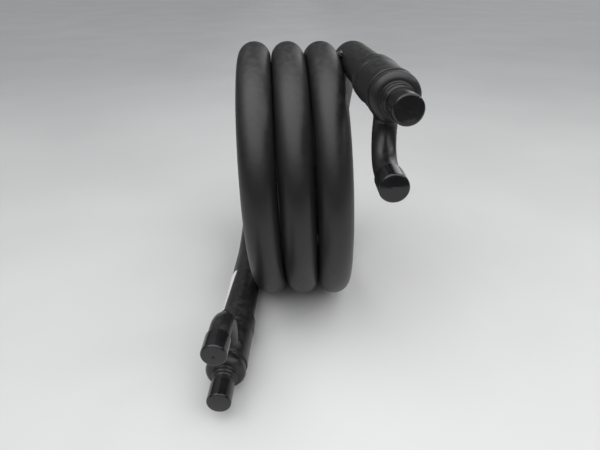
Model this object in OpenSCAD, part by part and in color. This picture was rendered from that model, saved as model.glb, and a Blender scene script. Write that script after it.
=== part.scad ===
// Coaxial heat-exchanger coil.
// A water tube runs inside a larger outer tube. Both are wound together into
// three and a half upright turns, and both ends run straight forward, one along
// the floor and one off the top. Each end has a header with a branch elbow, and
// a straight-through solder socket. A push-on cap covers every open socket.
//
// +Z is up and the winding axis lies along X. The two ends point along -Y.
// Distances called "reach" are measured along an end's own axis, from the plane
// where the winding stops.

/* [Wound tube] */
// Outside diameter of the wound outer tube
tube_od = 38.1; // [34:0.1:38.1]
// Wall of the outer tube
tube_wall = 1.65; // [1.2:0.05:2.2]
// Radius of the winding, to the tube's centre line
coil_r = 136; // [125:0.5:160]
// Distance between the centres of neighbouring turns
pitch = 38.3; // [38.3:0.1:42]
// Outside diameter of the inner water tube
inner_od = 25.4; // [22:0.1:28]
// Wall of the inner water tube
inner_wall = 1.2; // [0.8:0.1:1.6]
// Small difference of radius between neighbouring stretches of a wound tube
wind_step = 0.05; // [0.04:0.01:0.1]

/* [Straight ends] */
// Angle by which each end splays outwards from the winding
splay = 2.5; // [1:0.1:3]
// Centre line radius of the short bend that makes the splay
splay_bend_r = 200; // [100:10:300]
// Reach of the mouth of the header's socket, where the weld to the outer tube lies
weld_reach = 116.5; // [112:0.5:120]
// Leg of the fillet weld between the outer tube and the socket's mouth
weld_w = 2.2; // [1.5:0.1:2.6]
// Extra length of the lower end over the upper end
lower_extra = 13; // [0:1:20]

/* [Headers] */
// Outside diameter of the socket that takes the outer tube's end
sock_od = 43.8; // [43:0.1:45]
// Length of the socket, with its 3 mm taper down to the header pipe
sock_len = 22; // [20:0.5:26]
// Depth to which the outer tube goes into the socket
sock_depth = 14; // [10:0.5:16]
// Outside diameter of the header pipe
header_od = 41.6; // [41:0.1:42.6]
// Wall of the header pipe
header_wall = 2.3; // [2:0.1:2.5]
// Reach at which the header pipe ends
header_reach = 187; // [186:0.5:190]
// Width of the brazed gap between the header and its end bell
bell_gap = 1.8; // [1:0.1:2.4]
// Outside diameter of the end bell
bell_od = 41.4; // [41:0.1:44]
// Length of the end bell's straight rim
bell_rim = 6.5; // [5:0.5:9]
// Radius of the end bell's rounded shoulder
bell_round = 6.5; // [5:0.5:7]
// Wall of the end bell
bell_wall = 3; // [2:0.5:4]
// Outside diameter of the end bell's collar
collar_od = 26.6; // [25:0.1:28]
// Length of the collar
collar_len = 6.5; // [4:0.5:7]

/* [Branches] */
// Reach of the branch riser's axis
branch_reach = 175.5; // [170:0.5:175.5]
// Outside diameter of the branch tube
branch_od = 21; // [19:0.1:21.2]
// Wall of the branch tube
branch_wall = 1.6; // [1.4:0.1:1.8]
// Centre line radius of the branch elbow
elbow_r = 35; // [30:0.5:36]
// Distance from the upper header's axis down to its branch outlet
upper_branch_h = 57.5; // [57:0.5:75]
// Distance from the lower header's axis up to its branch outlet
lower_branch_h = 65; // [57:0.5:75]
// Turn of the upper branch about its header
upper_branch_roll = -3; // [-8:0.1:8]
// Turn of the lower branch about its header
lower_branch_roll = -1.9; // [-8:0.1:8]
// Turn of the upper branch's outlet about its riser
upper_branch_turn = 3; // [-4:0.1:4]

/* [Sockets and caps] */
// Bore of the four solder sockets, for 19.05 mm tube
socket_bore = 19.15; // [19.1:0.01:19.3]
// Outside diameter of the sockets
socket_od = 21.3; // [21:0.1:22]
// Depth of the sockets
socket_depth = 19; // [16:0.5:19]
// Outside diameter of the caps
cap_od = 24.4; // [24:0.1:26]
// Radial clearance between a cap and its socket
cap_clear = 0.05; // [0.03:0.01:0.1]
// Overall length of a cap
cap_len = 23; // [21:0.5:25]
// Thickness of a cap's closed end
cap_end = 2.2; // [1.5:0.1:3]
// Rounding of a cap's closed end
cap_round = 2; // [1:0.5:2]
// Reach of the upper water cap's face
upper_water_face = 237.3; // [236:0.1:245]
// Reach of the lower water cap's face
lower_water_face = 251.3; // [249:0.1:258]
// Reach of the upper branch cap's face
upper_branch_face = 243.2; // [242:0.1:250]
// Reach of the lower branch cap's face
lower_branch_face = 257.4; // [255:0.1:264]

/* [Label] */
// Reach at which the label starts
label_start = 46; // [35:1:46]
// Length of the label
label_len = 80; // [60:1:80]
// Angle that the label wraps round the tube
label_wrap = 76; // [40:1:90]
// Angle at which the label's upper edge lies, below the end's outer side
label_turn = 46; // [30:1:60]
// Thickness of the label
label_t = 0.2; // [0.1:0.05:0.3]

/* [Hidden] */
$fn = 96;

tube_r = tube_od / 2;
bore_r = tube_r - tube_wall;
inner_r = inner_od / 2;
header_r = header_od / 2;
header_bore_r = header_r - header_wall;
sock_r = sock_od / 2;
bell_r = bell_od / 2;
branch_r = branch_od / 2;
socket_r = socket_od / 2;
socket_bore_r = socket_bore / 2;
cap_r = cap_od / 2;
stop_r = socket_bore_r - 1.1;      // bore of the socket's inner stop
tail_r = socket_bore_r - 0.05;     // the water tube's plain end, inside its stub
tail_wall = 1;

// Each half turn is a half circle in a plane that leans by half_lean, so that
// its ends meet the next half turn tangentially.
half_lean = atan(pitch / (4 * coil_r));
ring_r = sqrt(coil_r * coil_r + pitch * pitch / 16);
first_x = -1.25 * pitch;
bend_x = splay_bend_r * (1 - cos(splay)) - splay_bend_r * sin(splay) * tan(splay);
bend_reach = splay_bend_r * tan(splay);
straight_at = bend_reach - 2;      // the straight starts inside the bend
cut = 0.04;                        // gap between stretches of the outer tube
half_cut = 90 * cut / (PI * ring_r);   // half of it, as an angle of the winding
bend_cut = 90 * cut / (PI * splay_bend_r);
collar_r = collar_od / 2;

// End 0 is the upper one and end 1 the lower one.
function extra(e) = e * lower_extra;
function water_face(e) = e == 0 ? upper_water_face : lower_water_face;
function branch_face(e) = e == 0 ? upper_branch_face : lower_branch_face;
function branch_h(e) = e == 0 ? upper_branch_h : lower_branch_h;
function branch_roll(e) = e == 0 ? upper_branch_roll : lower_branch_roll;
function branch_turn(e) = e == 0 ? upper_branch_turn : 0;
function weld_at(e) = weld_reach + extra(e);
function header_at(e) = header_reach + extra(e);
function bell_at(e) = header_at(e) + bell_gap;
function nose_at(e) = bell_at(e) + bell_rim + bell_round;
function collar_at(e) = nose_at(e) + collar_len;
function riser_at(e) = branch_reach + extra(e);
function stub_end(e) = water_face(e) - cap_end - 0.3;
function branch_end(e) = branch_face(e) - cap_end - 0.3;

// The socket of the lower header is thicker than the wound tube, so the whole coil
// leans back a little until that socket and the turns rest on the floor together.
lean_y = weld_at(1) * cos(splay);
lean_z = coil_r + sock_r;
rest_lean = atan2(lean_z, lean_y)
    - asin((coil_r + tube_r) / sqrt(lean_y * lean_y + lean_z * lean_z));

// The origin is on the floor, below the middle of the whole part.
front_y = -(lower_branch_face * cos(splay) + (cap_r - cap_round) * sin(splay)) * cos(rest_lean)
    - (coil_r - lower_branch_h + cap_r - cap_round) * sin(rest_lean);
back_y = ring_r + tube_r;
origin_y = -(front_y + back_y) / 2;

module placed() {
    translate([0, origin_y, coil_r + tube_r]) rotate([-rest_lean, 0, 0]) children();
}

// Puts its children on an end's axis: +Z along the end, +Y up at the upper end.
module at_end(e) {
    rotate([0, 180 * e, 0])
        translate([1.75 * pitch + bend_x, 0, coil_r])
            rotate([90, 0, splay]) children();
}

// The same, with -Y along the branch riser.
module at_branch(e) {
    at_end(e) rotate([0, 0, branch_roll(e)])
        translate([0, 0, riser_at(e)]) rotate([0, -branch_turn(e), 0])
            translate([0, 0, -riser_at(e)]) children();
}

module back_half(rad, k) {
    translate([first_x + (k - 0.25) * pitch, 0, 0])
        rotate([0, 90 + half_lean, 0])
            rotate_extrude(angle = 180) translate([ring_r, 0]) circle(r = rad);
}

// A front half runs 1 degree past both ends of the half turn.
module front_half(rad, k) {
    translate([first_x + (k + 0.25) * pitch, 0, 0])
        rotate([0, -90 - half_lean, 0]) rotate([180, 0, 0]) rotate([0, 0, -1])
            rotate_extrude(angle = 182) translate([ring_r, 0]) circle(r = rad);
}

// The short bend from the winding into an end, which starts 0.2 degree early.
module end_bend(rad, e) {
    rotate([0, 180 * e, 0])
        translate([1.75 * pitch + splay_bend_r, 0, coil_r])
            rotate([0, 0, 180 - 0.2])
                rotate_extrude(angle = splay + 0.2) translate([splay_bend_r, 0]) circle(r = rad);
}

// A solid bar of radius rad along the whole winding. The back halves are
// slimmer by wind_step, and end inside the front halves and the bends.
module winding(rad) {
    for (k = [0 : 3]) back_half(rad - wind_step, k);
    for (k = [0 : 2]) front_half(rad, k);
    for (e = [0, 1]) end_bend(rad, e);
}

// ---- wound tubes ----

// The outer tube is one tube. It is drawn as nine stretches a hair's breadth
// apart, seven half turns and two ends, so that each of them is a simple solid.
module wall_section() {
    difference() {
        circle(r = tube_r);
        circle(r = bore_r);
    }
}

module back_stretch(k) {
    translate([first_x + (k - 0.25) * pitch, 0, 0])
        rotate([0, 90 + half_lean, 0]) rotate([0, 0, half_cut])
            rotate_extrude(angle = 180 - 2 * half_cut) translate([ring_r, 0]) wall_section();
}

module front_stretch(k) {
    translate([first_x + (k + 0.25) * pitch, 0, 0])
        rotate([0, -90 - half_lean, 0]) rotate([180, 0, 0]) rotate([0, 0, half_cut])
            rotate_extrude(angle = 180 - 2 * half_cut) translate([ring_r, 0]) wall_section();
}

module end_stretch(e) {
    difference() {
        union() {
            rotate([0, 180 * e, 0])
                translate([1.75 * pitch + splay_bend_r, 0, coil_r]) rotate([0, 0, 180 + bend_cut])
                    rotate_extrude(angle = splay - bend_cut) translate([splay_bend_r, 0])
                        circle(r = tube_r);
            at_end(e) rotate_extrude() polygon([
                [0, straight_at], [tube_r - wind_step, straight_at],
                [tube_r - wind_step, weld_at(e) + sock_depth - 0.3],
                [0, weld_at(e) + sock_depth - 0.3]]);
        }
        union() {
            end_bend(bore_r, e);
            at_end(e) rotate_extrude() polygon([
                [0, straight_at], [bore_r - wind_step, straight_at],
                [bore_r - wind_step, weld_at(e) + sock_depth + 5],
                [0, weld_at(e) + sock_depth + 5]]);
        }
    }
}

module outer_coil_tube() {
    color([0.16, 0.16, 0.17]) {
        for (k = [0 : 3]) back_stretch(k);
        for (k = [0 : 2]) front_stretch(k);
        for (e = [0, 1]) end_stretch(e);
    }
}

module inner_water_tube() {
    color([0.72, 0.45, 0.30]) difference() {
        union() {
            winding(inner_r);
            for (e = [0, 1]) at_end(e) rotate_extrude() polygon([
                [0, straight_at], [inner_r - wind_step, straight_at],
                [inner_r - wind_step, header_at(e) - 30], [tail_r, header_at(e) - 15],
                [tail_r, stub_end(e) - socket_depth - 4],
                [0, stub_end(e) - socket_depth - 4]]);
        }
        union() {
            winding(inner_r - inner_wall);
            for (e = [0, 1]) at_end(e) rotate_extrude() polygon([
                [0, straight_at], [inner_r - inner_wall - wind_step, straight_at],
                [inner_r - inner_wall - wind_step, header_at(e) - 30],
                [tail_r - tail_wall, header_at(e) - 15],
                [tail_r - tail_wall, stub_end(e)], [0, stub_end(e)]]);
        }
    }
}

module tack_bead() {
    rotate_extrude() polygon([[0, -8], [3.5, -8], [5.5, -5.5], [5.5, 5.5], [3.5, 8], [0, 8]]);
}

// Braze that ties neighbouring turns: one in the crevice beside the upper end,
// and three at mid height at the back.
module turn_tacks() {
    color([0.62, 0.60, 0.56]) difference() {
        union() {
            translate([1.25 * pitch, -20, coil_r + tube_r * 0.42]) rotate([90, 0, 0]) tack_bead();
            for (k = [0 : 2])
                translate([first_x + (k + 0.25) * pitch, ring_r + tube_r * 0.62, 0]) tack_bead();
        }
        winding(tube_r + wind_step);
        end_bend(tube_r, 0);
        at_end(0) translate([0, 0, straight_at]) cylinder(r = tube_r - wind_step, h = 40);
    }
}

// Plain label on the outer side of the lower end.
module blank_label() {
    color([0.95, 0.95, 0.93]) at_end(1) rotate([0, 0, -label_turn])
        rotate_extrude(angle = label_wrap) translate([tube_r - wind_step, label_start])
            square([wind_step + label_t, label_len]);
}

// ---- parts of an end ----

module header_weld(e) {
    color([0.20, 0.20, 0.21]) at_end(e) translate([0, 0, weld_at(e)]) rotate_extrude() difference() {
        translate([tube_r - wind_step, -weld_w]) square([weld_w, weld_w]);
        translate([tube_r - wind_step + weld_w, -weld_w]) circle(r = weld_w);
    }
}

module header(e) {
    color([0.15, 0.15, 0.16]) difference() {
        at_end(e) rotate_extrude() polygon([
            [tube_r, weld_at(e)], [sock_r, weld_at(e)],
            [sock_r, weld_at(e) + sock_len - 3], [header_r, weld_at(e) + sock_len],
            [header_r, header_at(e)], [header_bore_r, header_at(e)],
            [header_bore_r, weld_at(e) + sock_depth], [tube_r, weld_at(e) + sock_depth]]);
        at_branch(e) translate([0, -5, riser_at(e)]) rotate([90, 0, 0])
            cylinder(r = branch_r, h = 30);
    }
}

module bell_braze(e) {
    color([0.30, 0.29, 0.27]) at_end(e) translate([0, 0, header_at(e)])
        difference() {
            cylinder(r = header_r - 0.9, h = bell_gap);
            translate([0, 0, -1]) cylinder(r = header_bore_r, h = bell_gap + 2);
        }
}

module end_bell(e) {
    color([0.15, 0.15, 0.16]) at_end(e) translate([0, 0, bell_at(e)]) rotate_extrude() difference() {
        union() {
            translate([0, -bell_gap - 1.2]) square([header_bore_r, bell_gap + 1.3]);
            square([bell_r, bell_rim]);
            square([bell_r - bell_round, bell_rim + bell_round]);
            translate([bell_r - bell_round, bell_rim]) circle(r = bell_round);
            square([collar_r, bell_rim + bell_round + collar_len]);
        }
        translate([-1, -10]) square([socket_r + 1, 50]);
        translate([-1, -10]) square([header_bore_r - 2 + 1, 10 + bell_rim + bell_round - bell_wall - 4]);
        translate([-1, 0]) square([header_bore_r - 5 + 1, bell_rim + bell_round - bell_wall]);
    }
}

module stub_braze(e) {
    color([0.30, 0.29, 0.27]) at_end(e) translate([0, 0, collar_at(e)]) rotate_extrude() difference() {
        translate([socket_r, 0]) square([2.2, 2.2]);
        translate([socket_r + 2.2, 2.2]) circle(r = 2.2);
    }
}

module water_stub(e) {
    end = stub_end(e);
    root = nose_at(e) - 8;
    color([0.15, 0.15, 0.16]) at_end(e) difference() {
        translate([0, 0, root]) cylinder(r = socket_r, h = end - root);
        translate([0, 0, end - socket_depth]) cylinder(r = socket_bore_r, h = socket_depth + 1);
        translate([0, 0, root + 4]) cylinder(r = stop_r, h = end - root);
        translate([0, 0, root - 1]) cylinder(r = tail_r, h = end - socket_depth - 4 - root + 1);
    }
}

// Ring that brazes the water tube's plain end into its stub.
module socket_braze(e) {
    color([0.70, 0.66, 0.55]) at_end(e) translate([0, 0, nose_at(e) - 8]) rotate_extrude() difference() {
        translate([tail_r, -1.1]) square([1.1, 1.1]);
        translate([tail_r + 1.1, -1.1]) circle(r = 1.1);
    }
}

module branch_braze(e) {
    color([0.30, 0.29, 0.27]) difference() {
        at_branch(e) translate([0, 0, riser_at(e)]) rotate([90, 0, 0]) difference() {
            translate([0, 0, 16.3]) cylinder(r1 = branch_r + 1.9, r2 = branch_r + 0.5, h = 5.6);
            translate([0, 0, 14]) cylinder(r = branch_r, h = 12);
        }
        at_end(e) translate([0, 0, weld_at(e)]) cylinder(r = header_r, h = 90);
    }
}

module branch_tube(e) {
    h = branch_h(e);
    s0 = riser_at(e);
    end = branch_end(e);
    top = h - elbow_r;
    color([0.15, 0.15, 0.16]) at_branch(e) difference() {
        union() {
            translate([0, -17.4, s0]) rotate([90, 0, 0]) cylinder(r = branch_r, h = top - 17.4);
            translate([0, -top, s0 + elbow_r]) rotate([0, 90, 180])
                rotate_extrude(angle = 90) translate([elbow_r, 0]) circle(r = branch_r);
            translate([0, -h, 0]) rotate_extrude() polygon([
                [0, s0 + elbow_r], [branch_r, s0 + elbow_r],
                [branch_r, end - socket_depth - 3.5], [socket_r, end - socket_depth - 1],
                [socket_r, end], [0, end]]);
        }
        union() {
            translate([0, -16, s0]) rotate([90, 0, 0]) cylinder(r = branch_r - branch_wall, h = top - 16);
            translate([0, -top, s0 + elbow_r]) rotate([0, 90, 180])
                rotate_extrude(angle = 90) translate([elbow_r, 0]) circle(r = branch_r - branch_wall);
            translate([0, -h, s0 + elbow_r]) cylinder(r = branch_r - branch_wall, h = end - s0 - elbow_r - 5);
            translate([0, -h, end - socket_depth]) cylinder(r = socket_bore_r, h = socket_depth + 2);
        }
    }
}

// Push-on cap whose face is at the origin and whose mouth looks along -Z.
module cap() {
    translate([0, 0, -cap_len]) difference() {
        rotate_extrude() difference() {
            union() {
                square([cap_r, cap_len - cap_round]);
                square([cap_r - cap_round, cap_len]);
                translate([cap_r - cap_round, cap_len - cap_round]) circle(r = cap_round);
            }
            translate([-1, -1]) square([socket_r + cap_clear + 1, cap_len - cap_end + 1]);
            translate([-20, -1]) square([20, cap_len + 2]);
        }
        translate([0, 0, cap_len + 1.6]) sphere(r = 2);
    }
}

module water_cap(e) {
    color([0.05, 0.05, 0.055]) at_end(e) translate([0, 0, water_face(e)]) cap();
}

module branch_cap(e) {
    color([0.05, 0.05, 0.055]) at_branch(e) translate([0, -branch_h(e), branch_face(e)]) cap();
}

placed() outer_coil_tube();
placed() inner_water_tube();
placed() turn_tacks();
placed() blank_label();

placed() header_weld(0);  // upper_header_weld
placed() header(0);  // upper_header
placed() bell_braze(0);  // upper_bell_braze
placed() end_bell(0);  // upper_end_bell
placed() stub_braze(0);  // upper_stub_braze
placed() water_stub(0);  // upper_water_stub
placed() socket_braze(0);  // upper_socket_braze
placed() branch_braze(0);  // upper_branch_braze
placed() branch_tube(0);  // upper_branch_tube
placed() water_cap(0);  // upper_water_cap
placed() branch_cap(0);  // upper_branch_cap

placed() header_weld(1);  // lower_header_weld
placed() header(1);  // lower_header
placed() bell_braze(1);  // lower_bell_braze
placed() end_bell(1);  // lower_end_bell
placed() stub_braze(1);  // lower_stub_braze
placed() water_stub(1);  // lower_water_stub
placed() socket_braze(1);  // lower_socket_braze
placed() branch_braze(1);  // lower_branch_braze
placed() branch_tube(1);  // lower_branch_tube
placed() water_cap(1);  // lower_water_cap
placed() branch_cap(1);  // lower_branch_cap
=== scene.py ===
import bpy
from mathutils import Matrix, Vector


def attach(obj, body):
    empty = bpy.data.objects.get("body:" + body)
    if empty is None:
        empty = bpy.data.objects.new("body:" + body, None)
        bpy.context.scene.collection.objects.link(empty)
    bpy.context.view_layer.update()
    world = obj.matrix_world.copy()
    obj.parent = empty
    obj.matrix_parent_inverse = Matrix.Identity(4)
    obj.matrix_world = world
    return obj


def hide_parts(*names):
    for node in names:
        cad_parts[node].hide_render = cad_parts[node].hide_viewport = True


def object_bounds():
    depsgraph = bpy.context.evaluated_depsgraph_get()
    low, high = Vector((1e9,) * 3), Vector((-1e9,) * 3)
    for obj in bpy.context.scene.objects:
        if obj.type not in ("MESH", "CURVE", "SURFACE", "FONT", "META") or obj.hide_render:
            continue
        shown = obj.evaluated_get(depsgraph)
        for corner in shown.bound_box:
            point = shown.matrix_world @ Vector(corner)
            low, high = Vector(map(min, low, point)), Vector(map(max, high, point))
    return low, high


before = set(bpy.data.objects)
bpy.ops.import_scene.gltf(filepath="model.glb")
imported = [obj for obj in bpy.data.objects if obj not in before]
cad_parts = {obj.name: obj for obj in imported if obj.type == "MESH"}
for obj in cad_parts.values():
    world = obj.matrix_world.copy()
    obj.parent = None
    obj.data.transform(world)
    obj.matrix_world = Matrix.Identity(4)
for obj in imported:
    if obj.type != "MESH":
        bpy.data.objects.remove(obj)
CAD_BOX = [list(c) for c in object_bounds()]

import math

import bpy
import numpy as np
from mathutils import Matrix, Vector, noise

# ---------------------------------------------------------------- dimensions
# Millimetres, in the coil's own frame: the winding axis is X, its centre the origin.
TUBE_R, TUBE_WALL = 19.05, 1.65
COIL_R, PITCH = 136.0, 38.3
SPLAY = math.radians(2.5)
SPLAY_BEND_R = 200.0
WELD_REACH, WELD_W, LOWER_EXTRA = 116.5, 2.2, 13.0
SOCK_R, SOCK_LEN, SOCK_IN = 21.9, 22.0, 14.0
HEADER_R, HEADER_WALL, HEADER_REACH = 20.8, 2.3, 187.0
BELL_GAP, BELL_R, BELL_RIM, BELL_ROUND = 1.8, 20.7, 6.5, 6.5
COLLAR_R, COLLAR_LEN = 13.3, 6.5
BRANCH_REACH, BRANCH_R, BRANCH_WALL, ELBOW_R = 175.5, 10.5, 1.6, 35.0
BRANCH_H = (57.5, 65.0)
BRANCH_ROLL = (math.radians(-3.0), math.radians(-1.9))
BRANCH_TURN = (math.radians(3.0), 0.0)
SOCKET_BORE_R, SOCKET_R, SOCKET_DEPTH = 9.575, 10.65, 19.0
CAP_R, CAP_CLEAR, CAP_LEN, CAP_END, CAP_ROUND = 12.2, 0.05, 23.0, 2.2, 2.0
WATER_FACE = (237.3, 251.3)
BRANCH_FACE = (243.2, 257.4)
LABEL_START, LABEL_LEN, LABEL_WRAP, LABEL_TURN, LABEL_T = 46.0, 80.0, 76.0, 46.0, 0.2
NAMES = ("upper", "lower")
BORE_R = TUBE_R - TUBE_WALL
HEADER_BORE_R = HEADER_R - HEADER_WALL
TAIL_R = SOCKET_BORE_R - 0.05

RING_R = math.hypot(COIL_R, PITCH / 4)
BEND_X = SPLAY_BEND_R * (1 - math.cos(SPLAY)) - SPLAY_BEND_R * math.sin(SPLAY) * math.tan(SPLAY)


def extra(e): return e * LOWER_EXTRA
def weld_at(e): return WELD_REACH + extra(e)
def header_at(e): return HEADER_REACH + extra(e)
def bell_at(e): return header_at(e) + BELL_GAP
def nose_at(e): return bell_at(e) + BELL_RIM + BELL_ROUND
def collar_at(e): return nose_at(e) + COLLAR_LEN
def riser_at(e): return BRANCH_REACH + extra(e)
def stub_end(e): return WATER_FACE[e] - CAP_END - 0.3
def branch_end(e): return BRANCH_FACE[e] - CAP_END - 0.3


_ly = weld_at(1) * math.cos(SPLAY)
_lz = COIL_R + SOCK_R
LEAN = math.atan2(_lz, _ly) - math.asin((COIL_R + TUBE_R) / math.hypot(_ly, _lz))
_front = (-(BRANCH_FACE[1] * math.cos(SPLAY) + (CAP_R - CAP_ROUND) * math.sin(SPLAY)) * math.cos(LEAN)
          - (COIL_R - BRANCH_H[1] + CAP_R - CAP_ROUND) * math.sin(LEAN))
ORIGIN_Y = -(_front + RING_R + TUBE_R) / 2
ORIGIN_Z = COIL_R + TUBE_R


def turn_in(p):
    """Coil-frame directions to the row frame."""
    p = np.asarray(p, float)
    c, s = math.cos(LEAN), math.sin(LEAN)
    return np.stack([p[..., 0], p[..., 1] * c + p[..., 2] * s, -p[..., 1] * s + p[..., 2] * c], -1)


def place(p):
    """Coil-frame millimetres to row-frame metres."""
    return (turn_in(p) + np.array([0.0, ORIGIN_Y, ORIGIN_Z])) * 0.001


def end_vec(e, v):
    v = np.asarray(v, float)
    c, s = math.cos(SPLAY), math.sin(SPLAY)
    out = np.stack([v[..., 0] * c + v[..., 2] * s, v[..., 0] * s - v[..., 2] * c, v[..., 1]], -1)
    if e:
        out = out * np.array([-1.0, 1.0, -1.0])
    return out


def at_end(e, p):
    """End-frame points to the coil frame: +Z runs out along the end, +Y is up at the upper end."""
    o = np.array([1.75 * PITCH + BEND_X, 0.0, COIL_R])
    if e:
        o = o * np.array([-1.0, 1.0, -1.0])
    return end_vec(e, p) + o


def roll(e, p):
    p = np.asarray(p, float)
    c, s = math.cos(BRANCH_ROLL[e]), math.sin(BRANCH_ROLL[e])
    return np.stack([p[..., 0] * c - p[..., 1] * s, p[..., 0] * s + p[..., 1] * c, p[..., 2]], -1)


def at_branch(e, p):
    p = np.asarray(p, float)
    c, s = math.cos(BRANCH_TURN[e]), math.sin(BRANCH_TURN[e])
    z = p[..., 2] - riser_at(e)
    p = np.stack([p[..., 0] * c - z * s, p[..., 1], p[..., 0] * s + z * c + riser_at(e)], -1)
    return at_end(e, roll(e, p))


# ---------------------------------------------------------------- mesh helpers
def smoothstep(x, a, b):
    t = np.clip((np.asarray(x, float) - a) / (b - a), 0.0, 1.0)
    return t * t * (3 - 2 * t)


def grid_faces(n, m, loop=False):
    idx = np.arange(n * m).reshape(n, m)
    a = idx if loop else idx[:-1]
    b = np.roll(idx, -1, 0) if loop else idx[1:]
    return np.stack([a, np.roll(a, -1, 1), np.roll(b, -1, 1), b], -1).reshape(-1, 4)


def signed_volume(v, faces):
    total = 0.0
    quads = np.array([f for f in faces if len(f) == 4], int).reshape(-1, 4)
    tris = np.array([f for f in faces if len(f) == 3], int).reshape(-1, 3)
    t = np.concatenate([quads[:, [0, 1, 2]], quads[:, [0, 2, 3]], tris]) if len(quads) or len(tris) else tris
    a, b, c = v[t[:, 0]], v[t[:, 1]], v[t[:, 2]]
    o = v.mean(0)
    total = np.einsum("ij,ij->i", a - o, np.cross(b - o, c - o)).sum() / 6
    return total


def build(name, rows, loop=False, fan=(False, False), mat=None, body=None, replaces=(),
          sharp=38.0, uv=None, centre=None):
    """A closed surface from rings of points (n, m, 3) in row-frame metres. loop joins the last ring
    to the first. fan closes an open end with a fan round its ring's middle."""
    rows = np.asarray(rows, float)
    n, m = rows.shape[:2]
    v = rows.reshape(-1, 3)
    faces = [tuple(f) for f in grid_faces(n, m, loop)]
    extra_v = []
    for k, (on, ring) in enumerate(zip(fan, (0, n - 1))):
        if on:
            c = len(v) + len(extra_v)
            extra_v.append(rows[ring].mean(0) if centre is None else centre[k])
            base = ring * m
            for j in range(m):
                a, b = base + j, base + (j + 1) % m
                faces.append((a, c, b) if k == 0 else (a, b, c))
    if extra_v:
        v = np.vstack([v, extra_v])
    if signed_volume(v, faces) < 0:
        faces = [tuple(reversed(f)) for f in faces]
    me = bpy.data.meshes.new(name)
    me.from_pydata(v.tolist(), [], [tuple(int(i) for i in f) for f in faces])
    me.update()
    if uv is not None:
        # uv: (n, m, 2) along / around, in metres; each loop takes its own vertex's value, the seam quad too
        full = uv.reshape(-1, 2)
        lay = me.uv_layers.new(name="run")
        li = np.zeros(len(me.loops), int)
        me.loops.foreach_get("vertex_index", li)
        out = np.zeros((len(li), 2))
        inside = li < n * m
        out[inside] = full[li[inside]]
        lay.data.foreach_set("uv", out.astype(np.float32).ravel())
    me.shade_smooth()
    me.set_sharp_from_angle(angle=math.radians(sharp))
    o = bpy.data.objects.new(name, me)
    bpy.context.scene.collection.objects.link(o)
    if mat is not None:
        me.materials.append(mat)
    if body:
        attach(o, body)
    if replaces:
        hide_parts(*replaces)
    return o


def rounded(points, radii, steps=5, hold=0.45, closed=False):
    """A profile polyline with its corners rounded and a point near each rounding to hold the flats."""
    pts = [np.array(p, float) for p in points]
    n = len(pts)
    out = []
    for i, p in enumerate(pts):
        r = radii[i] if i < len(radii) else 0.0
        if r <= 0 or (not closed and i in (0, n - 1)):
            out.append(p)
            continue
        a, b = pts[i - 1], pts[(i + 1) % n]
        ua, ub = (a - p), (b - p)
        la, lb = np.linalg.norm(ua), np.linalg.norm(ub)
        ua, ub = ua / la, ub / lb
        ang = math.acos(max(-1.0, min(1.0, float(ua @ ub))))
        if ang > math.pi - 0.02:
            out.append(p)
            continue
        t = min(r / math.tan(ang / 2), la * 0.49, lb * 0.49)
        rr = t * math.tan(ang / 2)
        s0, s1 = p + ua * t, p + ub * t
        bis = (ua + ub) / np.linalg.norm(ua + ub)
        c = p + bis * (rr / math.sin(ang / 2))
        if hold and la * 0.49 > t + hold:
            out.append(p + ua * (t + hold))
        a0 = s0 - c
        a1 = s1 - c
        for k in range(steps + 1):
            w = k / steps
            th = (1 - w), w
            d = a0 * math.sin((1 - w) * (math.pi - ang)) + a1 * math.sin(w * (math.pi - ang))
            out.append(c + d / math.sin(math.pi - ang))
        if hold and lb * 0.49 > t + hold:
            out.append(p + ub * (t + hold))
    return np.array(out)


def subdivide(profile, longest=4.0):
    out = [profile[0]]
    for a, b in zip(profile[:-1], profile[1:]):
        k = max(1, int(math.ceil(np.linalg.norm(b - a) / longest)))
        for j in range(1, k + 1):
            out.append(a + (b - a) * j / k)
    return np.array(out)


def spin(profile, seg, put, shape=None):
    """Revolves (r, z) profile points about +Z. shape(r, z, phi) may change the radius and the height."""
    phi = np.arange(seg) / seg * 2 * math.pi
    r = np.repeat(profile[:, 0:1], seg, 1)
    z = np.repeat(profile[:, 1:2], seg, 1)
    f = np.repeat(phi[None, :], len(profile), 0)
    if shape is not None:
        r, z = shape(r, z, f)
    rows = put(np.stack([r * np.cos(f), r * np.sin(f), z], -1))
    along = np.concatenate([[0], np.cumsum(np.linalg.norm(np.diff(profile, axis=0), axis=1))])
    uv = np.stack([np.repeat(along[:, None], seg, 1), f * np.maximum(profile[:, 0:1].max(), 1.0)], -1) * 0.001
    return rows, uv


def ripple(phi, n, seed):
    """Deterministic uneven wave round a ring, about -1..1."""
    out = np.zeros_like(phi)
    for k, (w, a) in enumerate(((n, 0.55), (n * 1.618, 0.3), (n * 0.37, 0.35))):
        out = out + a * np.sin(round(w) * phi + seed * 1.7 + k * 2.3)
    return out


def roughen(rows, amount, scale, seed=0.0):
    """Moves points (row-frame metres) by smooth solid noise."""
    flat = rows.reshape(-1, 3)
    out = np.empty_like(flat)
    off = Vector((seed * 3.1, seed * 1.3, seed * 2.7))
    for i, p in enumerate(flat):
        d = noise.noise_vector(Vector(p) * scale + off)
        out[i] = p + np.array(d) * amount
    return out.reshape(rows.shape)


# ---------------------------------------------------------------- materials
def new_mat(name):
    m = bpy.data.materials.new(name)
    m.use_nodes = True
    nt = m.node_tree
    nt.nodes.clear()
    out = nt.nodes.new("ShaderNodeOutputMaterial")
    bsdf = nt.nodes.new("ShaderNodeBsdfPrincipled")
    nt.links.new(bsdf.outputs["BSDF"], out.inputs["Surface"])
    return m, nt, bsdf


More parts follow.
